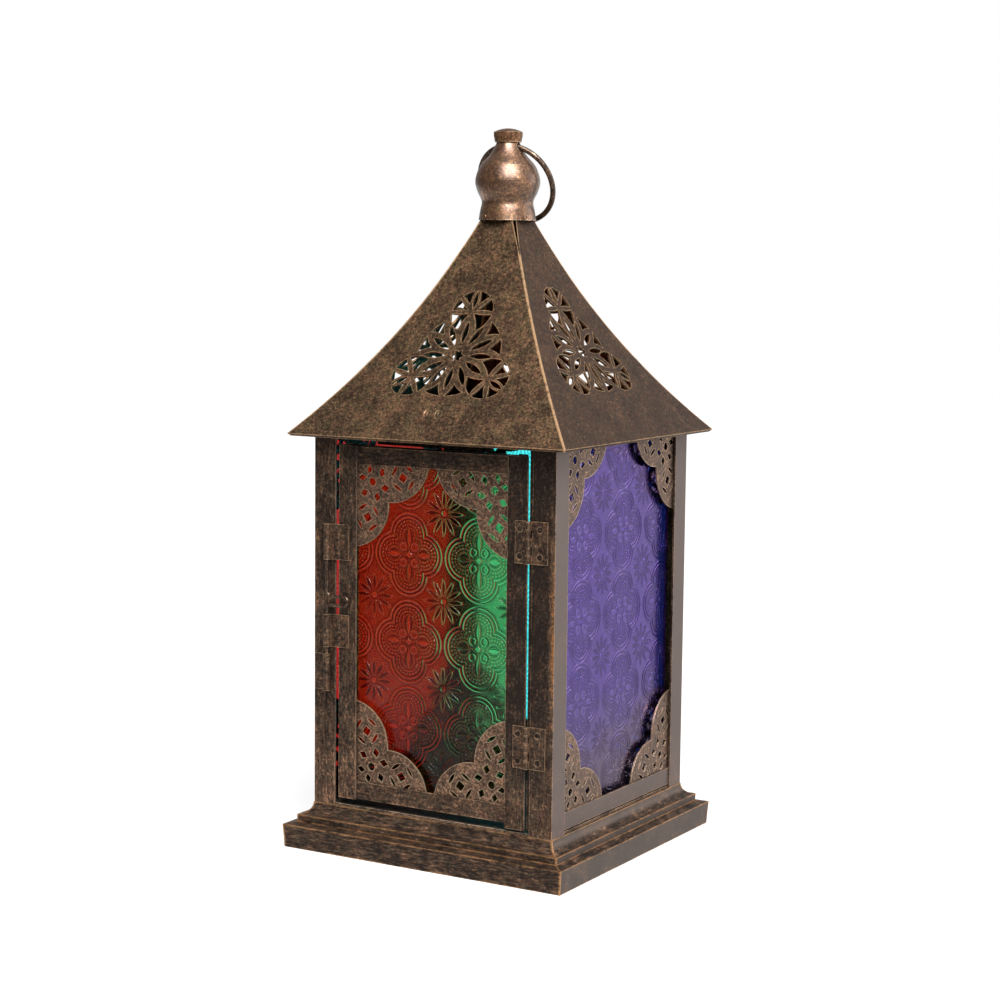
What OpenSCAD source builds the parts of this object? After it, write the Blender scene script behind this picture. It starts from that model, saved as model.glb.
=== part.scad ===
// Square metal lantern with four coloured glass walls, a pierced hipped roof,
// a hinged glass door with a drop bolt, a spun finial and a carrying ring.
// Millimetres. +Z is up, the door faces -Y, the origin is the middle of the foot.

/* [Body] */
// Width across the corner posts
body_w = 114.4; // [113:0.1:116]
// Leg of each corner angle
post_leg = 10.4; // [10.2:0.1:10.9]
// Thickness of the frame sheet
sheet_t = 0.7; // [0.6:0.05:0.75]
// Face height of the channel rails
rail_h = 7.2; // [6.8:0.1:8]
// Depth from a wall's face to the back of its channels
channel_d = 8; // [7.8:0.1:8.6]
// Height of the channels' back lips
lip_h = 5; // [4:0.5:6]
// Height of the side walls' lower rails above the plinth
rail_lift = 1.5; // [1.2:0.1:2]
// Height of the body's walls from the plinth to the eaves
wall_h = 155.4; // [150:0.1:160]

/* [Base] */
// How far the plinth's top edge stands out from the body
plinth_out = 0.3; // [0.2:0.1:0.8]
// How far the upper lip stands out from the plinth's top edge
step_out = 5; // [4.6:0.1:6]
// How far the groove under the upper lip is set back from it
groove_in = 0.1; // [0.1:0.1:1]
// How far the foot stands out from the plinth's top edge
foot_out = 8.7; // [7.6:0.1:9]
// How far the lower lip stands out from the foot
lip_out = 0.65; // [0.4:0.05:1.2]
// Height of the lower lip
lip_z = 9.7; // [9:0.1:10.2]
// Height of the groove above the lower lip
lip_fall = 0.9; // [0.6:0.1:1.3]
// Height of the plinth's top above the groove
plinth_rise = 8; // [7.6:0.1:8.6]
// Thickness of the base sheet
base_t = 0.8; // [0.7:0.05:0.9]
// Width of the skirt's folded bottom hem
skirt_hem = 4; // [3:0.5:6]
// Width of the skirt's top flange
skirt_flange = 13; // [12:0.5:16]

/* [Roof] */
// How far the eaves stand out from the body
eave_over = 8.3; // [7.6:0.1:8.8]
// Height of the roof over its eaves
roof_h = 88.2; // [87:0.1:90]
// Radius of the roof's hollow sweep
roof_r = 294.3; // [280:0.1:310]
// Thickness of the roof sheet
roof_t = 0.8; // [0.7:0.05:0.9]
// Width of the folded hem along the eaves
roof_hem = 3.5; // [3:0.1:5]
// Half width where the open slits at the hips begin
slit_w = 15.8; // [14:0.1:18]
// Width of the slits at the roof's top
slit_gap = 1.3; // [0.8:0.1:1.6]

/* [Piercing] */
// Outer radius of the big rosettes
rosette_r = 19.9; // [19:0.1:20.6]
// Distance up the slope from the eave to the rosettes' centres
rosette_up = 42.6; // [41:0.1:44]
// How much higher the right panel's rosette is pierced
rosette_high = 2; // [0:0.1:2.5]
// How much nearer to the door the right panel's rosette is pierced
rosette_fore = 2.1; // [0:0.1:2.5]
// Number of petals
petal_count = 12; // [12]

/* [Glass] */
// Thickness of the panes
pane_t = 3; // [2.5:0.1:3.2]
// Clearance between the panes and the channels
pane_gap = 0.1; // [0.05:0.05:0.2]
// Room over the side panes in their upper channels
pane_head = 1.5; // [0.5:0.1:3]

/* [Brackets] */
// Length of a corner bracket along each side
bracket_leg = 34; // [33:0.1:35]
// Radius of a bracket's two lobes
lobe_r = 18.5; // [18.3:0.1:19]
// Distance of the lobes' centres along the side
lobe_at = 15.8; // [15.5:0.1:16.2]
// Distance of the lobes' centres outside the side
lobe_drop = 3.5; // [3.2:0.1:3.8]
// Thickness of the bracket sheet
bracket_t = 0.6; // [0.4:0.05:0.7]
// Lap of the brackets behind the frame
bracket_lap = 2.4; // [1.5:0.1:2.4]

/* [Door] */
// Slit between the latch stile and its post
latch_gap = 1.8; // [1.6:0.1:2.2]
// Slit between the hinge stile and its post
hinge_gap = 2.3; // [2.3:0.1:2.6]
// Width of the latch stile
latch_stile_w = 8.5; // [8:0.1:9]
// Width of the hinge stile
hinge_stile_w = 9.1; // [8.8:0.1:9.5]
// Distance of the hinge stile's web from its outer edge
stile_web = 4.6; // [4.4:0.1:4.7]
// How far the web's lip stays hidden behind the hinge stile's face
lip_hide = 0.6; // [0.4:0.1:1]
// Bottom of the latch stile above the plinth
door_gap_low = 3.6; // [3.4:0.1:4.2]
// How far the hinge stile hangs below the latch stile
stile_hang = 1.6; // [1:0.1:2]
// How much shorter than the body's walls the door is
door_short = 7.7; // [7.4:0.1:8.4]
// Set-back of the door rails from the stiles' ends
door_rail_set = 0.4; // [0.2:0.1:0.6]

/* [Hinges] */
// Height of a hinge
hinge_h = 17; // [16:0.1:18]
// Height of the lower hinge above the latch stile's bottom
hinge_rise = 23.8; // [22:0.1:26]
// Distance of the upper hinge's bottom below the door's top
hinge_down = 42.2; // [40:0.1:44]
// Distance of the hinge pins in front of the wall's face
hinge_out = 1.2; // [1.2:0.05:1.4]
// Outer radius of the knuckles
knuckle_r = 1.15; // [1.05:0.05:1.15]
// Radius of the pins
pin_r = 0.55; // [0.45:0.05:0.6]
// Running clearance of the pins and the bolt
run_gap = 0.05; // [0.03:0.01:0.08]
// Thickness of the leaves
leaf_t = 0.7; // [0.6:0.05:0.75]
// Width of a door leaf from the pin
door_leaf_w = 6.3; // [6:0.1:6.8]
// Width of a frame leaf from the pin
frame_leaf_w = 8.5; // [8:0.1:9]
// Number of knuckles
knuckle_count = 5; // [5]
// Gap between knuckles
knuckle_gap = 0.3; // [0.2:0.05:0.5]

/* [Latch] */
// Distance of the bolt from its post's inner edge
bolt_side = 3; // [2.8:0.1:3.4]
// Distance of the bolt in front of the wall's face
bolt_out = 1.8; // [1.8:0.05:2]
// Radius of the bolt wire
bolt_r = 0.7; // [0.6:0.05:0.7]
// Outer radius of the latch sleeves
sleeve_r = 1.5; // [1.4:0.05:1.5]
// Extra clearance of the bolt in its sleeves
sleeve_gap = 0.05; // [0.03:0.01:0.06]
// Length of the upper sleeve
sleeve_upper_h = 14.8; // [14:0.1:16]
// Gap between the keeper and the lower sleeve
sleeve_rise = 3.3; // [3:0.1:4]
// Length of the lower sleeve
sleeve_lower_h = 13.7; // [13:0.1:14]
// Reach of the sleeves' leaves from the bolt
sleeve_leaf_w = 10.1; // [9.5:0.1:10.5]
// Distance of the keeper's bottom below the door's middle
keeper_drop = 28.85; // [28:0.05:30]
// Length of the keeper
keeper_h = 15.2; // [14:0.1:16]
// Width of the keeper's leaf from the bolt
keeper_leaf_w = 6.9; // [6.5:0.1:7.1]
// Gap between the bolt's tip and the keeper at rest
bolt_lift = 0.3; // [0.2:0.05:0.5]
// Room between the lower sleeve and the handle's lower run
handle_rise = 3.8; // [3.6:0.1:4.4]
// Room between the handle's upper run and the upper sleeve
handle_room = 15.2; // [15.2:0.1:17]
// Centre-line radius of the handle's turn
handle_turn = 1.9; // [1.7:0.1:2.2]
// Reach of the handle from the bolt's line to the turn's centre
handle_reach = 8.4; // [7.5:0.1:9]
// Centre-line radius of the wire's bends
wire_bend = 1.4; // [1.2:0.1:1.6]
// Centre-line radius of the upper bend
upper_bend = 2.2; // [1.8:0.1:2.2]
// How far the bolt's top end lies below the upper sleeve's top
bolt_short = 2; // [1:0.1:4]

/* [Finial] */
// Largest radius of the bulb
bulb_r = 13.55; // [13:0.05:14]
// Height of the bulb from its foot to its neck
bulb_h = 32.2; // [31:0.1:33]
// Thickness of the spun shell
bulb_t = 0.85; // [0.7:0.05:0.9]
// How far the cap's foot stands out from the neck
cap_over = 0.73; // [0.5:0.01:0.9]
// How far the cap's rim stands out from its foot
cap_flare = 0.54; // [0.4:0.02:0.9]
// Height of the cap's lower taper
cap_taper_h = 2.7; // [2.4:0.1:3]
// Height of the cap's rim
cap_rim_h = 1.5; // [1.2:0.1:1.8]
// Height of the cap's domed top
cap_dome_h = 1.5; // [1.2:0.1:1.8]
// Clearance between the crown plate's collar and the bulb
crown_gap = 0.65; // [0.55:0.05:0.8]
// How far the crown plate laps over the roof's top
crown_lap = 1.9; // [1.7:0.1:2.1]
// Height of the crown's collar
crown_h = 2.6; // [2.2:0.1:3]

/* [Ring] */
// Centre-line radius of the ring
ring_r = 17.1; // [16.8:0.1:17.5]
// Radius of the ring's wire
wire_r = 1.15; // [1:0.05:1.2]
// Backward lean of the resting ring in degrees
ring_lean = 26; // [25:1:32]
// Distance of the ring's holes below the bulb's top
eye_down = 2.2; // [2.1:0.1:2.3]
// Radius of the ring's holes
eye_r = 1.78; // [1.75:0.01:1.8]
// Drop of the ring's pivot below the wire's middle
eye_drop = 0.86; // [0.84:0.01:0.88]

/* [Rivets] */
// Shank radius of the hinge rivets
rivet_r = 0.8; // [0.7:0.05:0.9]
// Head radius of the hinge rivets
rivet_head_r = 1.27; // [1.15:0.05:1.3]
// Head thickness of the rivets
rivet_head_t = 0.5; // [0.4:0.05:0.55]
// Clearance round the rivets
rivet_gap = 0.02; // [0.01:0.01:0.04]
// Shank radius of the finial's foot rivets
pin_rivet_r = 0.5; // [0.4:0.05:0.6]
// Height of the foot rivets above the bulb's foot
foot_rivet_z = 1.3; // [1.2:0.1:1.5]

/* [Hidden] */
$fn = 64;

// overrun of every cut, and the hair gaps of seams and seats
cut = 1;
seam = 0.05;
corner_gap = 0.2;
floor_gap = 0.2;

// faces of the square plan: front, right, back and left
FRONT = 0;
RIGHT = 1;
BACK = 2;
LEFT = 3;

half_w = body_w / 2;
wall_half = half_w - channel_d - corner_gap;
jamb_x = half_w - post_leg;

plinth_w = half_w + plinth_out;
step_w = plinth_w + step_out;
valley_w = step_w - groove_in;
foot_w = plinth_w + foot_out;
lip_w = foot_w + lip_out;
valley_z = lip_z + lip_fall;
plinth_z = valley_z + plinth_rise;
cove_r = step_out;

// outline of the bulb as shares of its height and of its largest radius
bulb_shares = [
    [0.000, 0.886], [0.127, 0.841], [0.220, 0.793], [0.280, 0.827], [0.360, 0.923],
    [0.478, 1.000], [0.593, 0.959], [0.711, 0.830], [0.826, 0.590], [0.910, 0.450],
    [1.000, 0.352]
];
bulb_steps = 4;

crown_r = bulb_r * bulb_shares[0][1] - bulb_t - crown_gap;
neck_r = bulb_r * bulb_shares[10][1];
cap_low_r = neck_r + cap_over;
cap_r = cap_low_r + cap_flare;

// the roof's sweep is an arc through the eave and the top, hollow outwards
eave_w = half_w + eave_over;
eave_z = plinth_z + wall_h;
roof_top_w = crown_r - crown_lap;
roof_top_z = eave_z + roof_h;
chord_w = roof_top_w - eave_w;
chord_z = roof_top_z - eave_z;
chord = sqrt(chord_w * chord_w + chord_z * chord_z);
rise = sqrt(roof_r * roof_r - chord * chord / 4);
sweep_w = (eave_w + roof_top_w) / 2 + rise * chord_z / chord;
sweep_z = (eave_z + roof_top_z) / 2 - rise * chord_w / chord;
eave_a = atan2(sweep_z - eave_z, sweep_w - eave_w);
top_a = atan2(sweep_z - roof_top_z, sweep_w - roof_top_w);
degree_arc = roof_r * PI / 180;
function under_roof(w) = sweep_z - sqrt(pow(roof_r + roof_t, 2) - pow(sweep_w - w, 2));

post_top = under_roof(half_w) - seam;
rail_bottom_z = plinth_z + rail_lift;
rail_top_z = post_top - rail_h;
pane_d = channel_d - sheet_t - pane_gap - pane_t;
pane_fore = half_w - sheet_t - rivet_head_t - floor_gap;
bracket_d = 2 * sheet_t;

door_left = jamb_x - latch_gap;
door_right = jamb_x - hinge_gap;
door_z0 = plinth_z + door_gap_low;
door_z1 = door_z0 + wall_h - door_short;
door_rail_z0 = door_z0 + door_rail_set;
door_rail_z1 = door_z1 - door_rail_set;
web_x = door_right - stile_web - sheet_t;
pane_left_x = -door_left + sheet_t + pane_gap;
pane_right_x = web_x - pane_gap;
door_open_left = -door_left + latch_stile_w;
door_open_right = door_right - hinge_stile_w;

hinge_x = jamb_x - hinge_gap / 2;
hinge_lower_z = door_z0 + hinge_rise;
hinge_upper_z = door_z1 - hinge_down;

bolt_x = jamb_x + bolt_side;
keeper_z = (door_z0 + door_z1) / 2 - keeper_drop;
sleeve_lower_z = keeper_z + keeper_h + sleeve_rise;
handle_z = sleeve_lower_z + sleeve_lower_h + handle_rise;
sleeve_upper_z = handle_z + 2 * handle_turn + handle_room;
bolt_top_z = sleeve_upper_z + sleeve_upper_h - bolt_short;

bulb_z = roof_top_z;
eye_up = bulb_h - eye_down;
eye_z = bulb_z + eye_up;
cap_z = bulb_z + bulb_h;

// places of the bracket cut-outs as shares of the leg, and their half diagonals
flower_share = [0.638, 0.135];
flower_turn = -12;
leaf_slot_shares = [0.172, 0.044];
flower_ring_share = 0.142;
flower_gem_share = 0.069;
dot_share = 0.205;
dot_r_share = 0.05;
gem_shares = [
    [0.385, 0.272, 0.066, 0.050, -8],
    [0.341, 0.088, 0.048, 0.064, 22],
    [0.160, 0.058, 0.042, 0.062, 8]
];

// places of the rivets as shares of the hinge's height and of the leaf's width
rivet_shares = [0.17, 0.81];
door_rivet_share = 0.66;
frame_rivet_share = 0.58;
foot_rivet_turn = 69;
foot_rivets_n = 4;

// the piercing as shares of the big rosette's radius
petal_in = 0.286 * rosette_r;
petal_out = 0.829 * rosette_r;
petal_wide = 0.131 * rosette_r;
star_r = 0.156 * rosette_r;
rib_wide = 0.372 * rosette_r;
small_at = 1.045 * rosette_r;
small_r = 0.508 * rosette_r;
small_rib = 0.116 * rosette_r;

star_share = 0.6;
small_petals_at = [46, 92, 158];
small_turns = [90, 210, 330];
notch_turns = [15, 45, 135, 165, 255, 285];
small_slot_shares = [0.14, 0.95];
small_slot_wide_share = 0.2;
small_rim_share = 0.95;
small_hub_share = 0.17;
small_root_share = 0.08;
small_tip_share = 1.16;
slot_rib_share = 1.8;
notch_in_share = 0.7;
notch_out_share = 0.985;
notch_root_share = 0.6;
notch_tip_share = 1.04;

function spline(a, b, c, d, t) =
    0.5 * (2 * b + (c - a) * t + (2 * a - 5 * b + 4 * c - d) * t * t
    + (3 * b - a - 3 * c + d) * t * t * t);
function pick(list, i) = list[max(0, min(len(list) - 1, i))];
function smooth(list, n) = [
    for (i = [0 : len(list) - 2], j = [0 : n - 1])
        spline(pick(list, i - 1), list[i], list[i + 1], pick(list, i + 2), j / n),
    list[len(list) - 1]
];
function shifted(list, d) = [for (p = list) [p[0] + d, p[1]]];
function turned_back(list) = [for (i = [len(list) - 1 : -1 : 0]) list[i]];

// a wall's own frame: x to the right seen from outside, y inwards from its face
module wall(k) {
    rotate([0, 0, 90 * k]) translate([0, -half_w, 0]) children();
}

// runs an outline of (depth, height) along a wall
module run(length) {
    rotate([90, 0, 90]) linear_extrude(height = length, center = true) children();
}

// runs an outline of (distance from the middle, height) along a side of the plan
module side_run(length) {
    rotate([90, 0, -90]) linear_extrude(height = length, center = true) children();
}

module mitre(reach, low, high) {
    translate([0, -seam, low]) linear_extrude(height = high - low)
        polygon([[0, 0], [-reach, -reach], [reach, -reach]]);
}

// a pointed leaf outline that starts at the origin and lies along x
module leaf_outline(length, wide) {
    r = (length * length + wide * wide) / (4 * wide);
    translate([length / 2, 0]) intersection() {
        translate([0, r - wide / 2]) circle(r = r);
        translate([0, wide / 2 - r]) circle(r = r);
    }
}

module gem(half_x, half_y) {
    polygon([[half_x, 0], [0, half_y], [-half_x, 0], [0, -half_y]]);
}

// base skirt

module skirt_outline() {
    difference() {
        polygon([
            [plinth_w - skirt_flange, 0], [foot_w, 0], [lip_w, lip_z],
            [valley_w, valley_z], [step_w, plinth_z - cove_r], [step_w, plinth_z],
            [plinth_w - skirt_flange, plinth_z]
        ]);
        translate([step_w, plinth_z]) circle(r = cove_r);
        difference() {
            polygon([
                [plinth_w - skirt_flange - cut, -cut], [foot_w - skirt_hem, -cut],
                [foot_w - skirt_hem, base_t], [foot_w - base_t, base_t],
                [lip_w - base_t, lip_z - base_t], [valley_w - base_t, valley_z - base_t],
                [step_w - base_t, plinth_z - base_t],
                [plinth_w - skirt_flange - cut, plinth_z - base_t]
            ]);
            translate([step_w, plinth_z]) circle(r = cove_r + base_t);
        }
    }
}

module skirt(k) {
    color("#4a382c") rotate([0, 0, 90 * k]) intersection() {
        side_run(2 * lip_w + cut) skirt_outline();
        mitre(lip_w + cut, -cut, plinth_z + cut);
    }
}

module floor_plate() {
    half = half_w - sheet_t - floor_gap;
    color("#3d332d") translate([-half, -half, plinth_z])
        cube([2 * half, 2 * half, base_t]);
}

// corner posts and channel rails

module post(k) {
    color("#43372f") rotate([0, 0, 90 * k]) difference() {
        translate([half_w, -half_w, plinth_z]) linear_extrude(height = post_top - plinth_z)
            polygon([
                [0, 0], [0, post_leg], [-sheet_t, post_leg], [-sheet_t, sheet_t],
                [-post_leg, sheet_t], [-post_leg, 0]
            ]);
        if (k == FRONT)
            for (z = [hinge_lower_z, hinge_upper_z])
                hinge_rivet_places(z, frame_leaf_w * frame_rivet_share)
                    cylinder(r = rivet_r + rivet_gap, h = 2 * (leaf_t + sheet_t), center = true);
    }
}

module channel_outline() {
    polygon([
        [sheet_t, 0], [channel_d, 0], [channel_d, lip_h], [channel_d - sheet_t, lip_h],
        [channel_d - sheet_t, sheet_t], [2 * sheet_t, sheet_t], [2 * sheet_t, rail_h],
        [sheet_t, rail_h]
    ]);
}

module rail_bottom(k) {
    color("#4b392d") wall(k) translate([0, 0, rail_bottom_z])
        run(2 * wall_half) channel_outline();
}

module rail_top(k) {
    color("#4b392d") wall(k) translate([0, 0, post_top]) mirror([0, 0, 1])
        run(2 * wall_half) channel_outline();
}

// the side panes reach forward to the front posts
module pane(k, tint) {
    low = rail_bottom_z + sheet_t + pane_gap;
    high = post_top - sheet_t - pane_head;
    left = k == RIGHT ? pane_fore : wall_half;
    right = k == LEFT ? pane_fore : wall_half;
    color(tint, 0.6) wall(k) translate([-left, pane_d, low])
        cube([left + right, pane_t, high - low]);
}

// pierced corner brackets

module flower() {
    for (i = [0 : 3])
        rotate(flower_turn + 45 + 90 * i)
            translate([bracket_leg * flower_ring_share, 0]) rotate(90)
                translate([-bracket_leg * leaf_slot_shares[0] / 2, 0])
                    leaf_outline(bracket_leg * leaf_slot_shares[0],
                                 bracket_leg * leaf_slot_shares[1]);
    rotate(flower_turn)
        gem(bracket_leg * flower_gem_share, bracket_leg * flower_gem_share);
}

module bracket_half_cuts() {
    translate(bracket_leg * flower_share) flower();
    for (g = gem_shares)
        translate(bracket_leg * [g[0], g[1]]) rotate(g[4])
            gem(bracket_leg * g[2], bracket_leg * g[3]);
}

module bracket_outline() {
    difference() {
        intersection() {
            translate([-bracket_lap, -bracket_lap]) square(2 * bracket_leg);
            union() {
                translate([lobe_at, -lobe_drop]) circle(r = lobe_r);
                translate([-lobe_drop, lobe_at]) circle(r = lobe_r);
            }
        }
        bracket_half_cuts();
        mirror([1, -1, 0]) bracket_half_cuts();
        translate(bracket_leg * dot_share * [1, 1]) circle(r = bracket_leg * dot_r_share);
    }
}

// right and up are 1 where the bracket grows that way from its corner
module bracket(k, x, z, right, up) {
    color("#7a5a45") wall(k) translate([x, bracket_d, z])
        mirror([right, 0, 0]) mirror([0, 0, up]) rotate([90, 0, 0])
            mirror([0, 0, 1]) linear_extrude(height = bracket_t) bracket_outline();
}

module wall_bracket(k, n) {
    low = rail_bottom_z + rail_h;
    if (n == 1) bracket(k, -jamb_x, low, 0, 0);
    if (n == 2) bracket(k, jamb_x, low, 1, 0);
    if (n == 3) bracket(k, jamb_x, rail_top_z, 1, 1);
    if (n == 4) bracket(k, -jamb_x, rail_top_z, 0, 1);
}

module door_bracket(n) {
    low = door_rail_z0 + rail_h;
    high = door_rail_z1 - rail_h;
    if (n == 1) bracket(FRONT, door_open_left, low, 0, 0);
    if (n == 2) bracket(FRONT, door_open_right, low, 1, 0);
    if (n == 3) bracket(FRONT, door_open_right, high, 1, 1);
    if (n == 4) bracket(FRONT, door_open_left, high, 0, 1);
}

// roof

module sweep_band(inner, outer, from_a, to_a) {
    far = 2 * outer;
    translate([sweep_w, sweep_z]) intersection() {
        difference() {
            circle(r = outer, $fn = 256);
            circle(r = inner, $fn = 256);
        }
        polygon([[0, 0], far * [-cos(from_a), -sin(from_a)], far * [-cos(to_a), -sin(to_a)]]);
    }
}

module star() {
    polygon([
        for (i = [0 : 11])
            let (r = i % 2 == 0 ? star_r : star_r * star_share)
                r * [cos(30 * i), sin(30 * i)]
    ]);
}

module small_rosette() {
    root = small_r * small_root_share;
    difference() {
        circle(r = small_r * small_rim_share);
        circle(r = small_r * small_hub_share);
        translate([-root, 0]) leaf_outline(small_r * small_tip_share + root, small_rib * slot_rib_share);
        for (a = small_petals_at, s = [-1, 1])
            rotate(s * a) translate([-root, 0])
                leaf_outline(small_r * small_tip_share + root, small_rib);
        polygon([[0, 0], 2 * small_r * [cos(small_petals_at[2]), sin(small_petals_at[2])],
                 2 * small_r * [cos(small_petals_at[2]), -sin(small_petals_at[2])]]);
    }
    translate([small_r * small_slot_shares[0], 0])
        leaf_outline(small_r * (small_slot_shares[1] - small_slot_shares[0]),
                     small_r * small_slot_wide_share);
}

module notch() {
    half_a = 180 / petal_count;
    intersection() {
        difference() {
            circle(r = rosette_r * notch_out_share);
            circle(r = rosette_r * notch_in_share);
            for (s = [-1, 1])
                rotate(s * half_a) translate([petal_in * notch_root_share, 0])
                    leaf_outline(rosette_r * notch_tip_share - petal_in * notch_root_share,
                                 rib_wide);
        }
        polygon([[0, 0], 2 * rosette_r * [cos(half_a), -sin(half_a)],
                 2 * rosette_r * [cos(half_a), sin(half_a)]]);
    }
}

module rosette() {
    star();
    for (i = [0 : petal_count - 1])
        rotate(360 / petal_count * i) translate([petal_in, 0])
            leaf_outline(petal_out - petal_in, petal_wide);
    for (a = notch_turns) rotate(a) notch();
    for (a = small_turns) rotate(a) translate([small_at, 0]) small_rosette();
}

module roof(k) {
    slit_x = roof_top_w - slit_gap / sqrt(2);
    slit_w0 = slit_w - slit_w * (slit_w - roof_top_w) / (slit_w - slit_x);
    far = eave_w + cut;
    deep = 8 * roof_t;
    up = rosette_up + (k == RIGHT ? rosette_high : 0);
    side = k == RIGHT ? -rosette_fore : 0;
    rosette_a = eave_a - up / degree_arc;
    rosette_w = sweep_w - roof_r * cos(rosette_a);
    rosette_z = sweep_z - roof_r * sin(rosette_a);
    color("#5b4332") rotate([0, 0, 90 * k]) difference() {
        intersection() {
            side_run(2 * far) union() {
                sweep_band(roof_r, roof_r + roof_t, eave_a, top_a);
                sweep_band(roof_r, roof_r + 2 * roof_t, eave_a, eave_a - roof_hem / degree_arc);
            }
            translate([0, -seam, eave_z - cut]) linear_extrude(height = chord_z + 2 * cut)
                polygon([[0, -slit_w0], [slit_w, -slit_w], [far, -far],
                         [-far, -far], [-slit_w, -slit_w]]);
        }
        translate([side, -rosette_w, rosette_z]) rotate([90 - rosette_a, 0, 0])
            linear_extrude(height = 2 * deep, center = true) rosette();
    }
}

module roof_crown() {
    color("#4a382c") translate([0, 0, roof_top_z]) difference() {
        cylinder(r = crown_r, h = crown_h);
        translate([0, 0, base_t]) cylinder(r = crown_r - base_t, h = crown_h);
        foot_rivet_places() cylinder(r = pin_rivet_r + rivet_gap, h = 2 * bulb_r);
    }
}

// finial and ring

module bulb_profile() {
    outside = [for (p = smooth(bulb_shares, bulb_steps)) [bulb_r * p[1], bulb_h * p[0]]];
    polygon(concat(outside, turned_back(shifted(outside, -bulb_t))));
}

module foot_rivet_places() {
    for (i = [0 : foot_rivets_n - 1])
        rotate([0, 0, foot_rivet_turn - 90 + 360 / foot_rivets_n * i])
            translate([0, 0, foot_rivet_z]) rotate([0, 90, 0]) children();
}

module finial_bulb() {
    color("#7d6250") translate([0, 0, bulb_z]) difference() {
        rotate_extrude() bulb_profile();
        translate([0, 0, eye_up]) rotate([0, 90, 0]) {
            cylinder(r = eye_r, h = 2 * bulb_r, center = true);
            cylinder(r = wire_r + eye_drop + 3 * seam,
                     h = 2 * (neck_r - bulb_t + corner_gap), center = true);
        }
        foot_rivet_places() cylinder(r = pin_rivet_r + rivet_gap, h = 2 * bulb_r);
    }
}

module finial_cap() {
    ball_r = (cap_r * cap_r + cap_dome_h * cap_dome_h) / (2 * cap_dome_h);
    low = cap_taper_h + cap_rim_h;
    color("#8a6a55") translate([0, 0, cap_z]) {
        rotate_extrude() union() {
            polygon([[0, 0], [cap_low_r, 0], [cap_r, cap_taper_h], [cap_r, low], [0, low]]);
            intersection() {
                translate([0, low + cap_dome_h - ball_r]) circle(r = ball_r);
                translate([0, low - seam]) square([cap_r, cap_dome_h + 2 * seam]);
            }
        }
    }
}

module top_ring() {
    color("#8a6547") translate([0, 0, eye_z]) rotate([ring_lean, 0, 0])
        translate([0, 0, eye_drop - ring_r]) rotate([90, 0, 0])
            rotate_extrude() translate([ring_r, 0]) circle(r = wire_r);
}

module foot_rivets() {
    wall_r = bulb_r * bulb_shares[0][1];
    color("#7d6250") translate([0, 0, bulb_z]) foot_rivet_places() {
        translate([0, 0, crown_r - base_t]) cylinder(r = pin_rivet_r, h = wall_r - crown_r + base_t);
        translate([0, 0, wall_r]) cylinder(r = 2 * pin_rivet_r, h = rivet_head_t);
    }
}

// hinges

module hinge_rivet_places(z, x) {
    for (s = rivet_shares)
        translate([hinge_x + x, -half_w, z + hinge_h * s]) rotate([90, 0, 0]) children();
}

// odd is 1 for the leaf with knuckles 2 and 4, and 0 for 1, 3 and 5
module hinge_leaf(z, way, width, odd) {
    step = hinge_h / knuckle_count;
    reach = knuckle_r + knuckle_gap;
    color("#6b503f") difference() {
        translate([hinge_x, -half_w, z]) mirror([way < 0 ? 1 : 0, 0, 0]) difference() {
            union() {
                translate([reach, -leaf_t, 0]) cube([width - reach, leaf_t, hinge_h]);
                for (i = [odd : 2 : knuckle_count - 1]) {
                    translate([0, -leaf_t, step * i + knuckle_gap / 2])
                        cube([reach + seam, leaf_t, step - knuckle_gap]);
                    translate([0, -hinge_out, step * i + knuckle_gap / 2])
                        cylinder(r = knuckle_r, h = step - knuckle_gap);
                }
            }
            translate([0, -hinge_out, -cut])
                cylinder(r = pin_r + run_gap, h = hinge_h + 2 * cut);
        }
        hinge_rivet_places(z, way * width * (way < 0 ? door_rivet_share : frame_rivet_share))
            cylinder(r = rivet_head_r + rivet_gap, h = 4 * leaf_t, center = true);
    }
}

module hinge_pins() {
    color("#8c8078") for (z = [hinge_lower_z, hinge_upper_z])
        translate([hinge_x, -half_w - hinge_out, z]) cylinder(r = pin_r, h = hinge_h);
}

module rivet(skin) {
    cylinder(r = rivet_head_r, h = rivet_head_t);
    translate([0, 0, -skin]) cylinder(r = rivet_r, h = skin + rivet_head_t / 2);
    translate([0, 0, -skin - rivet_head_t]) cylinder(r = rivet_head_r, h = rivet_head_t);
}

module frame_rivets() {
    color("#5b4638") for (z = [hinge_lower_z, hinge_upper_z])
        hinge_rivet_places(z, frame_leaf_w * frame_rivet_share) rivet(sheet_t);
}

module door_rivets() {
    color("#5b4638") for (z = [hinge_lower_z, hinge_upper_z])
        hinge_rivet_places(z, -door_leaf_w * door_rivet_share) rivet(sheet_t);
}

// door frame

// a web at the outer edge is the latch stile's; the hinge stile's is set inwards
module stile_outline(width, web, lip) {
    union() {
        square([width, sheet_t]);
        polygon([
            [web, 0], [web + sheet_t, 0], [web + sheet_t, channel_d - sheet_t],
            [lip, channel_d - sheet_t], [lip, channel_d], [web, channel_d]
        ]);
    }
}

module door_stile_latch() {
    color("#43372f") wall(FRONT) translate([-door_left, 0, door_z0])
        linear_extrude(height = door_z1 - door_z0) stile_outline(latch_stile_w, 0, lip_h);
}

module door_stile_hinge() {
    low = door_z0 - stile_hang;
    color("#43372f") difference() {
        wall(FRONT) translate([door_right, 0, low]) mirror([1, 0, 0])
            linear_extrude(height = door_z1 - low)
                stile_outline(hinge_stile_w, stile_web, hinge_stile_w - lip_hide);
        for (z = [hinge_lower_z, hinge_upper_z])
            hinge_rivet_places(z, -door_leaf_w * door_rivet_share)
                cylinder(r = rivet_r + rivet_gap, h = 2 * (leaf_t + sheet_t), center = true);
    }
}

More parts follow.
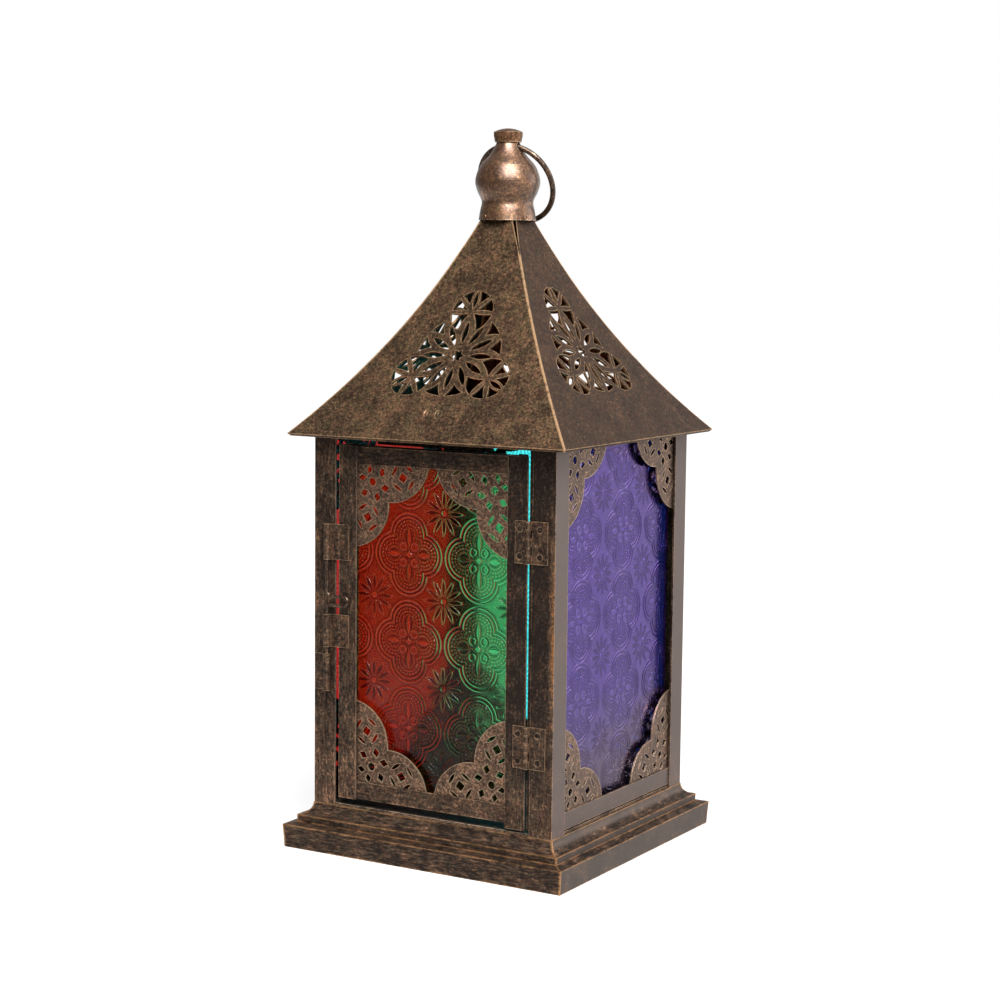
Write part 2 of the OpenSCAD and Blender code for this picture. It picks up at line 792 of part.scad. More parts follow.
module door_rail() {
    left = -door_left + sheet_t;
    right = web_x;
    lip_left = -door_left + lip_h + pane_gap;
    lip_right = door_open_right + lip_hide - pane_gap;
    translate([(left + right) / 2, 0, 0]) run(right - left) polygon([
        [sheet_t, 0], [channel_d - sheet_t, 0], [channel_d - sheet_t, sheet_t],
        [2 * sheet_t, sheet_t], [2 * sheet_t, rail_h], [sheet_t, rail_h]
    ]);
    translate([(lip_left + lip_right) / 2, 0, 0]) run(lip_right - lip_left) polygon([
        [channel_d - 2 * sheet_t, 0], [channel_d, 0], [channel_d, lip_h],
        [channel_d - sheet_t, lip_h], [channel_d - sheet_t, sheet_t],
        [channel_d - 2 * sheet_t, sheet_t]
    ]);
}

module door_rail_bottom() {
    color("#4b392d") wall(FRONT) translate([0, 0, door_rail_z0]) door_rail();
}

module door_rail_top() {
    color("#4b392d") wall(FRONT) translate([0, 0, door_rail_z1])
        mirror([0, 0, 1]) door_rail();
}

module door_pane() {
    low = door_rail_z0 + sheet_t + pane_gap;
    high = door_rail_z1 - sheet_t - pane_gap;
    color("#a8511c", 0.6) wall(FRONT) translate([pane_left_x, pane_d, low])
        cube([pane_right_x - pane_left_x, pane_t, high - low]);
}

// latch

module latch_bore(z, h) {
    translate([-bolt_x, -half_w - bolt_out, z - cut])
        cylinder(r = bolt_r + run_gap + sleeve_gap, h = h + 2 * cut);
}

module sleeve(z, h) {
    lift = bolt_out - sleeve_r - seam;
    step = (door_left + jamb_x) / 2 - door_left;
    from_x = bolt_x - door_left;
    color("#6b503f") difference() {
        union() {
            translate([-bolt_x, -half_w - bolt_out, z]) cylinder(r = sleeve_r, h = h);
            translate([-bolt_x, -half_w, z]) linear_extrude(height = h) polygon([
                [0, -lift], [from_x, -lift], [from_x + step, 0], [sleeve_leaf_w, 0],
                [sleeve_leaf_w, -leaf_t], [from_x + step, -leaf_t],
                [from_x, -leaf_t - lift], [0, -leaf_t - lift]
            ]);
        }
        latch_bore(z, h);
    }
}

module latch_sleeve_upper() {
    sleeve(sleeve_upper_z, sleeve_upper_h);
}

module latch_sleeve_lower() {
    sleeve(sleeve_lower_z, sleeve_lower_h);
}

module latch_keeper() {
    color("#6b503f") difference() {
        union() {
            translate([-bolt_x, -half_w - bolt_out, keeper_z])
                cylinder(r = sleeve_r, h = keeper_h);
            translate([-bolt_x - keeper_leaf_w, -half_w - leaf_t, keeper_z])
                cube([keeper_leaf_w, leaf_t, keeper_h]);
        }
        latch_bore(keeper_z, keeper_h);
    }
}

// a bend of the wire in the plane of x and z, from angle from_a through sweep_deg
module bend(x, z, r, from_a, sweep_deg) {
    translate([x, 0, z]) rotate([90, 0, 0]) mirror([0, 0, 1])
        rotate([0, 0, from_a]) rotate_extrude(angle = sweep_deg)
            translate([r, 0]) circle(r = bolt_r, $fn = 32);
}

module latch_bolt() {
    tip_z = keeper_z + keeper_h + bolt_lift;
    upper_z = handle_z + 2 * handle_turn;
    color("#9a8672") translate([-bolt_x, -half_w - bolt_out, 0]) {
        translate([0, 0, tip_z]) cylinder(r = bolt_r, h = handle_z - wire_bend - tip_z, $fn = 32);
        bend(wire_bend, handle_z - wire_bend, wire_bend, 90, 90);
        translate([wire_bend, 0, handle_z]) rotate([0, 90, 0])
            cylinder(r = bolt_r, h = handle_reach - wire_bend, $fn = 32);
        bend(handle_reach, handle_z + handle_turn, handle_turn, -90, 180);
        translate([upper_bend, 0, upper_z]) rotate([0, 90, 0])
            cylinder(r = bolt_r, h = handle_reach - upper_bend, $fn = 32);
        bend(upper_bend, upper_z + upper_bend, upper_bend, 180, 90);
        translate([0, 0, upper_z + upper_bend])
            cylinder(r = bolt_r, h = bolt_top_z - upper_z - upper_bend, $fn = 32);
    }
}

skirt(FRONT);  // skirt_front
skirt(RIGHT);  // skirt_right
skirt(BACK);  // skirt_back
skirt(LEFT);  // skirt_left
floor_plate();
post(FRONT);  // post_front_right
post(RIGHT);  // post_back_right
post(BACK);  // post_back_left
post(LEFT);  // post_front_left
rail_bottom(RIGHT);  // rail_bottom_right
rail_bottom(BACK);  // rail_bottom_back
rail_bottom(LEFT);  // rail_bottom_left
rail_top(FRONT);  // rail_top_front
rail_top(RIGHT);  // rail_top_right
rail_top(BACK);  // rail_top_back
rail_top(LEFT);  // rail_top_left
pane(RIGHT, "#4a35a8");  // pane_right
pane(BACK, "#18a8b8");  // pane_back
pane(LEFT, "#c01818");  // pane_left
wall_bracket(RIGHT, 1);  // bracket_right_1
wall_bracket(RIGHT, 2);  // bracket_right_2
wall_bracket(RIGHT, 3);  // bracket_right_3
wall_bracket(RIGHT, 4);  // bracket_right_4
wall_bracket(BACK, 1);  // bracket_back_1
wall_bracket(BACK, 2);  // bracket_back_2
wall_bracket(BACK, 3);  // bracket_back_3
wall_bracket(BACK, 4);  // bracket_back_4
wall_bracket(LEFT, 1);  // bracket_left_1
wall_bracket(LEFT, 2);  // bracket_left_2
wall_bracket(LEFT, 3);  // bracket_left_3
wall_bracket(LEFT, 4);  // bracket_left_4
roof(FRONT);  // roof_front
roof(RIGHT);  // roof_right
roof(BACK);  // roof_back
roof(LEFT);  // roof_left
roof_crown();
finial_bulb();
finial_cap();
top_ring();
hinge_leaf(hinge_upper_z, 1, frame_leaf_w, 0);  // hinge_upper_frame_leaf
hinge_leaf(hinge_lower_z, 1, frame_leaf_w, 0);  // hinge_lower_frame_leaf
hinge_pins();
frame_rivets();
foot_rivets();
latch_keeper();
door_stile_latch();
door_stile_hinge();
door_rail_bottom();
door_rail_top();
door_pane();
door_bracket(1);  // bracket_door_1
door_bracket(2);  // bracket_door_2
door_bracket(3);  // bracket_door_3
door_bracket(4);  // bracket_door_4
hinge_leaf(hinge_upper_z, -1, door_leaf_w, 1);  // hinge_upper_door_leaf
hinge_leaf(hinge_lower_z, -1, door_leaf_w, 1);  // hinge_lower_door_leaf
latch_sleeve_upper();
latch_sleeve_lower();
door_rivets();
latch_bolt();
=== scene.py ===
"""Square metal lantern with coloured pressed-glass walls: the looks, the studio and the camera."""
import sys
import logging
import math
from collections.abc import Sequence
from dataclasses import dataclass, replace
from enum import Enum
from functools import reduce

import bmesh
import bpy
from mathutils import Matrix, Vector


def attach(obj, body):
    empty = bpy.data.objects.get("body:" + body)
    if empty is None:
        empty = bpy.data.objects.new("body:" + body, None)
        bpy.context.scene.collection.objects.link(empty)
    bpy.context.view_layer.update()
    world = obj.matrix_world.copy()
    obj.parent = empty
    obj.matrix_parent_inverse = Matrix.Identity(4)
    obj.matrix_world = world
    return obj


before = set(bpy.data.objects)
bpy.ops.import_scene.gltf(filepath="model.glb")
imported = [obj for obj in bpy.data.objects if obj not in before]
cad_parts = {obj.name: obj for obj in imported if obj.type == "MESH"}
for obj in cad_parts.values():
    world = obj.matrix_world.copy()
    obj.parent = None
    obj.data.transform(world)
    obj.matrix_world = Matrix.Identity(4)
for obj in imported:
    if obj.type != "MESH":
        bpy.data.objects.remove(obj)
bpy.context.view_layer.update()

MM = 0.001
MM_IN_METRE = 1000
NOISE_MEAN = 0.5
EDGE_SAMPLES = 4
EDGE_SHARPNESS = 3.0

log = logging.getLogger("lantern")

Colour = tuple[float, float, float]
Point = tuple[float, float, float]
Span = tuple[float, float]
Pair = tuple[float, float]
Lines = tuple[tuple[float, float, float], ...]

WHITE: Colour = (1.0, 1.0, 1.0)


class Num:
    """A number in a shader: the socket that gives it, with arithmetic on it."""

    def __init__(self, kit: "Kit", out: bpy.types.NodeSocket) -> None:
        """Keeps the socket.

        Args:
            kit: the material's node kit.
            out: the output socket that gives the number.
        """
        self.kit = kit
        self.out = out

    def __add__(self, other: "Num | float") -> "Num":
        """Sum."""
        return self.kit.math("ADD", self, other)

    __radd__ = __add__

    def __sub__(self, other: "Num | float") -> "Num":
        """Difference."""
        return self.kit.math("SUBTRACT", self, other)

    def __rsub__(self, other: "Num | float") -> "Num":
        """Difference from a number on the left."""
        return self.kit.math("SUBTRACT", other, self)

    def __mul__(self, other: "Num | float") -> "Num":
        """Product."""
        return self.kit.math("MULTIPLY", self, other)

    __rmul__ = __mul__

    def __truediv__(self, other: "Num | float") -> "Num":
        """Quotient."""
        return self.kit.math("DIVIDE", self, other)

    def __rtruediv__(self, other: "Num | float") -> "Num":
        """Quotient of a number on the left."""
        return self.kit.math("DIVIDE", other, self)

    def __pow__(self, other: "Num | float") -> "Num":
        """Power."""
        return self.kit.math("POWER", self, other)

    def __abs__(self) -> "Num":
        """Size without its sign."""
        return self.kit.math("ABSOLUTE", self)

    def least(self, other: "Num | float") -> "Num":
        """The smaller of the two."""
        return self.kit.math("MINIMUM", self, other)

    def most(self, other: "Num | float") -> "Num":
        """The larger of the two."""
        return self.kit.math("MAXIMUM", self, other)

    def wave(self) -> "Num":
        """Smooth wave over the number as radians: 1 at whole turns and 0 half way between."""
        return self.kit.math("COSINE", self) * 0.5 + 0.5

    def wrap(self, half: float) -> "Num":
        """Brings the number into -half to half by whole steps of twice half."""
        return self.kit.math("WRAP", self, half, -half)

    def step(self, start: float, end: float) -> "Num":
        """Smooth rise from 0 at start to 1 at end.

        Args:
            start: the value where the rise begins.
            end: the value where it is complete.

        Returns:
            The share from 0 to 1.
        """
        made = self.kit.node(
            "ShaderNodeMapRange", {"interpolation_type": "SMOOTHSTEP"},
            {0: self, 1: start, 2: end, 3: 0.0, 4: 1.0})
        return Num(self.kit, made.outputs[0])

    def ridge(self, centre: float, half: float) -> "Num":
        """A smooth ridge.

        Args:
            centre: the value at the ridge's crest.
            half: the half width of its foot.

        Returns:
            1 on the crest, 0 from the foot outwards.
        """
        return abs(self - centre).step(half, 0.0)

    def lines(self, lines: Lines) -> "Num":
        """Smooth lines where the number has certain values.

        Args:
            lines: each line's value, half width and height.

        Returns:
            The height of the highest line.
        """
        drawn = [self.ridge(at, half) * height for at, half, height in lines]
        return reduce(Num.most, drawn)


@dataclass(frozen=True)
class Mottle:
    """One scale of cloudy noise.

    Attributes:
        size: the size of its largest features in metres.
        detail: its octaves.
        rough: the weight of its finer octaves.
        twist: its distortion.
    """

    size: float
    detail: float
    rough: float
    twist: float = 0.0


class Kit:
    """The node tree of one material or world, and the one way in which nodes are added to it."""

    def __init__(self, tree: bpy.types.NodeTree) -> None:
        """Starts from an empty tree.

        Args:
            tree: the node tree to fill.
        """
        self.tree = tree
        tree.nodes.clear()

    def node(self, kind: str, settings: dict | None = None,
             values: dict | None = None) -> bpy.types.Node:
        """Adds a node.

        Args:
            kind: the node's type.
            settings: its properties, set first.
            values: its input sockets by name or number, as values or links.

        Returns:
            The new node.
        """
        made = self.tree.nodes.new(kind)
        for key, value in (settings or {}).items():
            setattr(made, key, value)
        for key, value in (values or {}).items():
            if isinstance(value, Num):
                value = value.out
            if isinstance(value, bpy.types.NodeSocket):
                self.tree.links.new(value, made.inputs[key])
            else:
                made.inputs[key].default_value = value
        return made

    def math(self, operation: str, *values: "Num | float") -> Num:
        """A Math node.

        Args:
            operation: its operation.
            *values: its operands.

        Returns:
            The result.
        """
        made = self.node("ShaderNodeMath", {"operation": operation}, dict(enumerate(values)))
        return Num(self, made.outputs[0])

    def place(self) -> bpy.types.NodeSocket:
        """The point in object coordinates."""
        return self.node("ShaderNodeTexCoord").outputs["Object"]

    def split(self, vector: bpy.types.NodeSocket) -> tuple[Num, Num, Num]:
        """The three parts of a vector.

        Args:
            vector: the socket that gives the vector.

        Returns:
            x, y and z.
        """
        made = self.node("ShaderNodeSeparateXYZ", None, {0: vector})
        return tuple(Num(self, out) for out in made.outputs)

    def stretch(self, vector: bpy.types.NodeSocket, by: Point) -> bpy.types.NodeSocket:
        """The vector scaled along each axis.

        Args:
            vector: the vector's socket.
            by: the scale along x, y and z.

        Returns:
            The scaled vector's socket.
        """
        return self.node("ShaderNodeVectorMath", {"operation": "MULTIPLY"},
                         {0: vector, 1: by}).outputs[0]

    def length(self, x: "Num | float", y: "Num | float") -> Num:
        """Distance of a point of the plane from the origin.

        Args:
            x: its first part.
            y: its second part.

        Returns:
            The distance.
        """
        point = self.node("ShaderNodeCombineXYZ", None, {0: x, 1: y, 2: 0.0}).outputs[0]
        made = self.node("ShaderNodeVectorMath", {"operation": "LENGTH"}, {0: point})
        return Num(self, made.outputs["Value"])

    def noise(self, vector: bpy.types.NodeSocket, mottle: Mottle) -> Num:
        """Cloudy noise.

        Args:
            vector: where it is read.
            mottle: its scale and character.

        Returns:
            The noise from 0 to 1.
        """
        made = self.node("ShaderNodeTexNoise", {"noise_dimensions": "3D"}, {
            "Vector": vector, "Scale": 1 / mottle.size, "Detail": mottle.detail,
            "Roughness": mottle.rough, "Distortion": mottle.twist})
        return Num(self, made.outputs[0])

    def mix(self, share: "Num | float", first: "Colour | bpy.types.NodeSocket",
            second: "Colour | bpy.types.NodeSocket") -> bpy.types.NodeSocket:
        """Blend of two colours.

        Args:
            share: the second colour's share.
            first: the colour at share 0.
            second: the colour at share 1.

        Returns:
            The blended colour's socket.
        """
        ends = [c if isinstance(c, bpy.types.NodeSocket) else (*c, 1.0) for c in (first, second)]
        made = self.node("ShaderNodeMix", {"data_type": "RGBA", "clamp_factor": True},
                         {0: share, 6: ends[0], 7: ends[1]})
        return made.outputs[2]

    def edge(self, radius: float) -> Num:
        """Nearness to an outer or inner edge of the sheet.

        Args:
            radius: how far from the edge it reaches, in metres.

        Returns:
            0 on the flat, up to 1 at the edge.
        """
        soft = self.node("ShaderNodeBevel", {"samples": EDGE_SAMPLES}, {"Radius": radius})
        true = self.node("ShaderNodeNewGeometry").outputs["True Normal"]
        facing = self.node("ShaderNodeVectorMath", {"operation": "DOT_PRODUCT"},
                           {0: soft.outputs[0], 1: true}).outputs["Value"]
        return ((1.0 - Num(self, facing)) * EDGE_SHARPNESS).least(1.0)

    def bump(self, height: Num, depth: float,
             normal: bpy.types.NodeSocket | None = None) -> bpy.types.NodeSocket:
        """Normal bent by a height.

        Args:
            height: the height from 0 to 1.
            depth: the depth that a height of 1 stands for, in metres.
            normal: the normal to start from, where it isn't the surface's own.

        Returns:
            The normal's socket.
        """
        values = {"Strength": 1.0, "Distance": depth, "Height": height}
        if normal is not None:
            values["Normal"] = normal
        return self.node("ShaderNodeBump", None, values).outputs[0]

    def surface(self, shader: bpy.types.Node) -> None:
        """Puts a shader on the material's surface."""
        self.node("ShaderNodeOutputMaterial", None, {"Surface": shader.outputs[0]})


def material_kit(name: str) -> tuple[bpy.types.Material, Kit]:
    """A new material and its node kit.

    Args:
        name: the material's name.
    """
    made = bpy.data.materials.new(name)
    made.use_nodes = True
    return made, Kit(made.node_tree)


class Grain(Enum):
    """The way in which the rubbing runs over a piece, as the scale of the pattern on each axis."""

    UP = (1.0, 1.0, 0.22)
    ACROSS = (0.22, 1.0, 1.0)
    DEEP = (1.0, 0.22, 1.0)
    CLOUDY = (1.0, 1.0, 1.0)


@dataclass(frozen=True)
class Rubbing:
    """How the noise of a rubbed finish turns into paint, bare copper and bright edges.

    A span gives the values at which a share begins and at which it is complete.
    """

    broad: Mottle = Mottle(14 * MM, 4.0, 0.6, 0.4)
    brush: Mottle = Mottle(0.9 * MM, 4.0, 0.7, 0.3)
    fleck: Mottle = Mottle(1.1 * MM, 4.0, 0.72, 0.8)
    tone: Mottle = Mottle(4 * MM, 3.0, 0.65, 0.6)
    stroke: Mottle = Mottle(4 * MM, 3.0, 0.6, 2.0)
    tone_span: Span = (0.36, 0.64)
    paint_span: Span = (-0.35, 0.6)
    copper_span: Span = (0.42, 1.0)
    stroke_span: Span = (0.2, 0.7)
    stroke_half: float = 0.012
    stroke_lead: float = 0.25
    edge_span: Span = (0.05, 0.95)
    edge_grit: float = 3.0
    edge_broad: float = 2.0
    # The side fields shape the painted sheen: where it begins, how much it calms the speckle, its
    # share and its grit.
    side_span: Span = (0.6, 0.9)
    side_calm: float = 0.7
    side_share: float = 0.85
    side_grit: float = 0.8
    corner_at: float = 57.2 * MM
    corner_fade: float = 3.8 * MM
    corner_middle: float = 100 * MM
    corner_half: float = 75 * MM
    corner_rust: float = 1.4


@dataclass(frozen=True)
class Texture:
    """How the masks of a rubbed finish change its roughness, metal and relief."""

    paint_rough: float = 0.12
    edge_smooth: float = 0.08
    grit_rough: float = 0.35
    least_rough: float = 0.12
    paint_metal: float = 0.8
    fleck_height: float = 0.5
    brush_height: float = 0.5
    dents: Mottle = Mottle(9 * MM, 2.0, 0.5)
    dent_height: float = 1.6
    rubbed_drop: float = 0.3
    relief_depth: float = 0.5 * MM
    coat_rough: float = 0.36
    bend: float = 1.45


@dataclass(frozen=True)
class Masks:
    """The patterns of one rubbed finish: grit about 0, and the others from 0 to 1 or near it."""

    brush: Num
    fleck: Num
    grit: Num
    # side: the share of the painted sheen.
    side: Num
    corner: Num
    bare: Num
    rub: Num
    edge: Num


@dataclass(frozen=True)
class Patina:
    """Dark antique paint on sheet metal, rubbed back to copper in patches, streaks and edges;
    where side_sheen is set, faces that look to the side get a painted sheen.
    """

    name: str
    grain: Grain = Grain.CLOUDY
    dark: Colour = (0.02, 0.013, 0.01)
    brown: Colour = (0.12, 0.065, 0.04)
    tinge: Colour = (0.092, 0.064, 0.042)
    copper: Colour = (0.5, 0.27, 0.16)
    rust: Colour = (0.5, 0.21, 0.07)
    worn: Colour = (0.85, 0.55, 0.34)
    # sheen: colour painted on side faces in place of the light that they mirror.
    sheen: Colour = (0.165, 0.128, 0.115)
    rubbed: float = 0.2
    streaked: float = 0.4
    speckle: float = 4.6
    cloudy: float = 1.2
    scratched: float = 0.5
    low_copper: float = 0.0
    low_top: float = 60 * MM
    corner_wear: float = 0.0
    side_sheen: float = 0.0
    patch: float = 14 * MM
    edge_reach: float = 0.5 * MM
    edge_wear: float = 0.55
    rough: float = 0.42
    shine: float = 1.0
    coat: float = 0.0
    depth: float = 0.06 * MM
    rubbing: Rubbing = Rubbing()
    texture: Texture = Texture()

    def relief(self, kit: Kit, place: bpy.types.NodeSocket) -> Num | None:
        """The pressed relief of the piece, where it has one."""
        return None

    def rim(self, kit: Kit, place: bpy.types.NodeSocket) -> Num:
        """Nearness to the edges that wear bright: 0 on the flat, up to 1 at an edge."""
        return kit.edge(self.edge_reach)

    def side(self, kit: Kit) -> Num:
        """Share of the painted cool sheen on the faces that look to the left or right.

        Args:
            kit: the material's kit.

        Returns:
            0 on the front and back, up to side_sheen on the sides.
        """
        turned = kit.split(kit.node("ShaderNodeTexCoord").outputs["Normal"])[0]
        return abs(turned).step(*self.rubbing.side_span) * self.side_sheen

    def corner(self, kit: Kit, place: bpy.types.NodeSocket, side: Num) -> Num:
        """Wear along the outer corners of the posts, strongest at half height.

        Args:
            kit: the material's kit.
            place: the point in object coordinates.
            side: the share of the painted sheen, which hides the wear.

        Returns:
            0 away from the corners, up to corner_wear.
        """
        x, y, z = kit.split(place)
        by = self.rubbing
        near = abs(x).least(abs(y)).step(by.corner_at - by.corner_fade, by.corner_at)
        height = z.ridge(by.corner_middle, by.corner_half)
        return near * (1.0 - side) * height * self.corner_wear

    def masks(self, kit: Kit, place: bpy.types.NodeSocket) -> Masks:
        """Works out where the finish is dark, rubbed and bright.

        Args:
            kit: the material's kit.
            place: the point in object coordinates.

        Returns:
            The masks.
        """
        by = self.rubbing
        lined = kit.stretch(place, self.grain.value)
        brush, fleck = kit.noise(lined, by.brush), kit.noise(place, by.fleck)
        grit = brush * self.streaked + fleck * (1.0 - self.streaked) - NOISE_MEAN
        broad = kit.noise(place, replace(by.broad, size=self.patch)) - NOISE_MEAN
        side = self.side(kit)
        corner = self.corner(kit, place, side)
        # More copper towards the bottom of the piece.
        low = (1.0 - kit.split(place)[2].step(0.0, self.low_top)) * self.low_copper
        # Under the painted sheen the speckle is calmer.
        speckle = grit * self.speckle * (1.0 - by.side_calm * side)
        bare = self.rubbed + speckle + broad * self.cloudy + low + corner
        strokes = kit.noise(lined, by.stroke).ridge(NOISE_MEAN, by.stroke_half)
        scratches = strokes * (bare + by.stroke_lead).step(*by.stroke_span) * self.scratched
        bright = (self.edge_wear + grit * by.edge_grit + broad * by.edge_broad).step(*by.edge_span)
        return Masks(brush, fleck, grit, side, corner, bare,
                     rub=bare.step(*by.copper_span).most(scratches),
                     edge=self.rim(kit, place) * bright)

    def colour(self, kit: Kit, place: bpy.types.NodeSocket, on: Masks) -> bpy.types.NodeSocket:
        """Blends paint, a painted sheen, copper and bright edges.

        Args:
            kit: the material's kit.
            place: the point in object coordinates.
            on: the masks.

        Returns:
            The colour's socket.
        """
        by = self.rubbing
        tone = kit.noise(place, by.tone).step(*by.tone_span)
        paint = kit.mix(tone, self.brown, self.tinge)
        paint = kit.mix(on.bare.step(*by.paint_span), self.dark, paint)
        # Painted sheen: side faces turn greyer and lighter in place of the light that they mirror.
        paint = kit.mix(on.side * (by.side_share + on.grit * by.side_grit), paint, self.sheen)
        metal = kit.mix(on.corner * by.corner_rust, self.copper, self.rust)
        return kit.mix(on.edge, kit.mix(on.rub, paint, metal), self.worn)

    def normal(self, kit: Kit, place: bpy.types.NodeSocket, on: Masks) -> bpy.types.NodeSocket:
        """Bends the normal by the brush marks, the dents and the pressed relief.

        Args:
            kit: the material's kit.
            place: the point in object coordinates.
            on: the masks.

        Returns:
            The normal's socket.
        """
        by = self.texture
        marks = on.fleck * by.fleck_height + on.brush * by.brush_height
        dents = kit.noise(place, by.dents) * by.dent_height
        normal = kit.bump(marks + dents - on.rub * by.rubbed_drop, self.depth)
        pressed = self.relief(kit, place)
        return normal if pressed is None else kit.bump(pressed, by.relief_depth, normal)

    def make(self) -> bpy.types.Material:
        """Builds the material.

        Returns:
            The material.
        """
        material, kit = material_kit(self.name)
        place, by = kit.place(), self.texture
        on = self.masks(kit, place)
        rough = (self.rough + by.paint_rough * (1.0 - on.rub) - by.edge_smooth * on.edge
                 + on.grit * by.grit_rough).most(by.least_rough)
        metal = self.shine * (by.paint_metal + (1.0 - by.paint_metal) * on.rub.most(on.edge))
        kit.surface(kit.node("ShaderNodeBsdfPrincipled", None, {
            "Base Color": self.colour(kit, place, on), "Metallic": metal, "Roughness": rough,
            "Normal": self.normal(kit, place, on), "Coat Weight": self.coat,
            "Coat Roughness": by.coat_rough, "IOR": by.bend}))
        return material


@dataclass(frozen=True)
class RoofPatina(Patina):
    """The roof's scratched patina, with two tack dents in the middle of a panel near its eave."""

    worn: Colour = (0.8, 0.5, 0.27)
    rubbed: float = 0.18
    streaked: float = 0.1
    speckle: float = 4.5
    scratched: float = 1.0
    patch: float = 10 * MM
    edge_reach: float = 0.7 * MM
    edge_wear: float = 0.8
    along_y: bool = False
    dent_z: float = 184.5 * MM
    dent_gap: float = 2.6 * MM
    dent_r: float = 1.5 * MM
    lip_half: float = 0.7 * MM
    lip_drop: float = 0.5
    # Half width of the bright hip line, worn copper and partly a painted highlight.
    hip: float = 1.1 * MM

    def rim(self, kit: Kit, place: bpy.types.NodeSocket) -> Num:
        """Nearness to the cut edges, which wear bright, and to the hips, whose bright line is wear
        and partly a painted highlight.

        Args:
            kit: the material's kit.
            place: the point in object coordinates.

        Returns:
            0 on the flat, up to 1 at an edge or hip.
        """
        x, y, _ = kit.split(place)
        # The bright line along the hips is worn copper and partly a painted highlight of the fold.
        return kit.edge(self.edge_reach).most((abs(x) - abs(y)).ridge(0.0, self.hip))

    def relief(self, kit: Kit, place: bpy.types.NodeSocket) -> Num:
        """Two small dents beside each other.

        Args:
            kit: the material's kit.
            place: the point in object coordinates.

        Returns:
            The height, lowest in the dents.
        """
        x, y, z = kit.split(place)
        along = y if self.along_y else x
        reach = kit.length(abs(along) - self.dent_gap, z - self.dent_z)
        return reach.step(0.0, self.dent_r) - self.lip_drop * reach.ridge(
            self.dent_r, self.lip_half)


@dataclass(frozen=True)
class Quatrefoil:
    """A beaded quatrefoil with leaves and scrolls round its middle, all in millimetres.

    Lines have their place, half width and height, and a span the values at which a share begins
    and at which it is complete. A leaf has the place of its middle and its half length.
    """

    lobe_r: float = 8.9
    side_lobe: float = 7.0
    high_lobe: float = 8.0
    rims: Lines = ((0.0, 0.55, 1.0), (-1.7, 0.5, 1.0))
    # The dark lines here and below, and the bead shade, are painted shade beside the rims, drawn
    # into the colour and not into the relief.
    shade_lines: Lines = ((-0.85, 0.6, 1.0), (-2.5, 0.55, 1.0), (0.9, 0.6, 0.7))
    ground_span: Span = (-2.7, -3.0)
    bead_row: float = 1.45
    beads_round: float = 22.0
    bead_span: Span = (0.22, 0.5)
    bead_shade: float = 0.6
    tall_leaf: Pair = (7.0, 4.2)
    wide_leaf: Pair = (7.2, 3.0)
    wide_leaf_slim: float = 0.8
    leaf_tip: float = 0.02
    leaf_clear: Span = (2.3, 1.8)
    leaf_span: Span = (0.9, 0.5)
    leaf_height: float = 0.8
    leaf_shade_lines: Lines = ((1.5, 0.7, 1.0),)
    curl_at: Pair = (2.7, 3.3)
    curl_clear: Span = (2.9, 2.3)
    curl_rims: Lines = ((1.5, 0.6, 0.6),)
    curl_shade_lines: Lines = ((2.3, 0.6, 0.7),)
    middle_clear: Span = (3.4, 2.8)
    middle_span: Span = (1.7, 1.2)

    def leaf(self, across: Num, along: Num, middle: float, half: float) -> Num:
        """Distance from a leaf's spine, measured as at its widest place.

        Args:
            across: distance from the spine.
            along: distance along the spine.
            middle: where the leaf is widest.
            half: half its length.

        Returns:
            The distance, which grows towards the tips.
        """
        return across / (1.0 - ((along - middle) / half) ** 2).most(self.leaf_tip)

    def beads(self, kit: Kit, u: Num, v: Num, high: Num, wide: Num) -> Num:
        """Rows of beads round the middle of the nearest lobe.

        Args:
            kit: the material's kit.
            u: distance sideways from the quatrefoil's middle.
            v: distance upwards from it.
            high: distance from the middle of the nearest upper or lower lobe.
            wide: distance from the middle of the nearest side lobe.

        Returns:
            1 on a bead, 0 between the beads.
        """
        top = kit.math("LESS_THAN", high, wide)
        rise = top * (abs(v) - self.high_lobe) + (1.0 - top) * v
        run = top * u + (1.0 - top) * (abs(u) - self.side_lobe)
        rows = (high.least(wide) * (math.tau / self.bead_row)).wave()
        return (rows * (kit.math("ARCTAN2", rise, run) * self.beads_round).wave()).step(
            *self.bead_span)

    def draw(self, kit: Kit, u: Num, v: Num) -> tuple[Num, Num]:
        """Draws the quatrefoil.

        Args:
            kit: the material's kit.
            u: distance sideways from its middle.
            v: distance upwards from its middle.

        Returns:
            The raised lines and beads, and the painted shade beside them, each from 0 to 1.
        """
        side, up = abs(u), abs(v)
        high = kit.length(u, up - self.high_lobe)
        wide = kit.length(side - self.side_lobe, v)
        outline = high.least(wide) - self.lobe_r
        leaf = self.leaf(side, up, *self.tall_leaf).least(
            self.leaf(up, side, *self.wide_leaf) * self.wide_leaf_slim)
        curl = kit.length(side - self.curl_at[0], up - self.curl_at[1])
        middle = side + up
        plain = curl.step(*self.curl_clear).most(leaf.step(*self.leaf_clear)).most(
            middle.step(*self.middle_clear))
        ground = outline.step(*self.ground_span) * (1.0 - plain)
        beads = self.beads(kit, u, v, high, wide)
        raised = outline.lines(self.rims).most(beads * ground).most(
            leaf.step(*self.leaf_span) * self.leaf_height).most(
            curl.lines(self.curl_rims)).most(middle.step(*self.middle_span))
        shaded = outline.lines(self.shade_lines).most((1.0 - beads) * ground * self.bead_shade).most(
            leaf.lines(self.leaf_shade_lines)).most(curl.lines(self.curl_shade_lines))
        return raised, shaded


